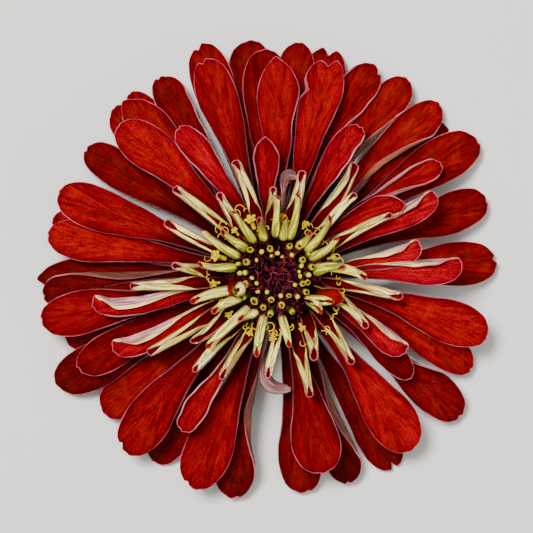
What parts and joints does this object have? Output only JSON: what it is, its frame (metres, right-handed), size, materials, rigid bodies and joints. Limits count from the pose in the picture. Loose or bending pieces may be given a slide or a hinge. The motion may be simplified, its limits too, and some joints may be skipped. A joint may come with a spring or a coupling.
{
  "type": "zinnia flower head",
  "caption": "Picked double zinnia head with a short cut stub, lying face up: whorls of broad red rays, rolled inner rays, pale quills and a dark chaffy disc.",
  "frame": {"origin": "on the surface the head lies on, under the middle of the spread of its rays", "axes": "+Z up, out of the face of the head; +X to the right and +Y up as the head is seen from above"},
  "size_m": [0.0919, 0.0916, 0.0285],
  "materials": {
    "stalk": "waxy green stem, finely ribbed",
    "bract_cup": "leathery green with dark fringed margins",
    "outer_rays": "velvety dark orange red with fine veins",
    "middle_rays": "velvety bright orange red with fine veins",
    "folded_rays": "velvety crimson with pale pink undersides",
    "rolled_rays": "matt cream outside, red inside",
    "yellow_florets": "soft yellow",
    "quill_rays": "pale yellow green, waxy, with red mouths",
    "bud_ring": "pale green yellow buds on maroon",
    "chaff_dome": "dark maroon, papery and fringed"
  },
  "bodies": {
    "root": {"stalk": "stalk", "bract_cup": "bract_cup", "outer_rays": "outer_rays", "middle_rays": "middle_rays", "folded_rays": "folded_rays", "rolled_rays": "rolled_rays", "yellow_florets": "yellow_florets", "quill_rays": "quill_rays", "bud_ring": "bud_ring", "chaff_dome": "chaff_dome"}
  },
  "joints": []
}
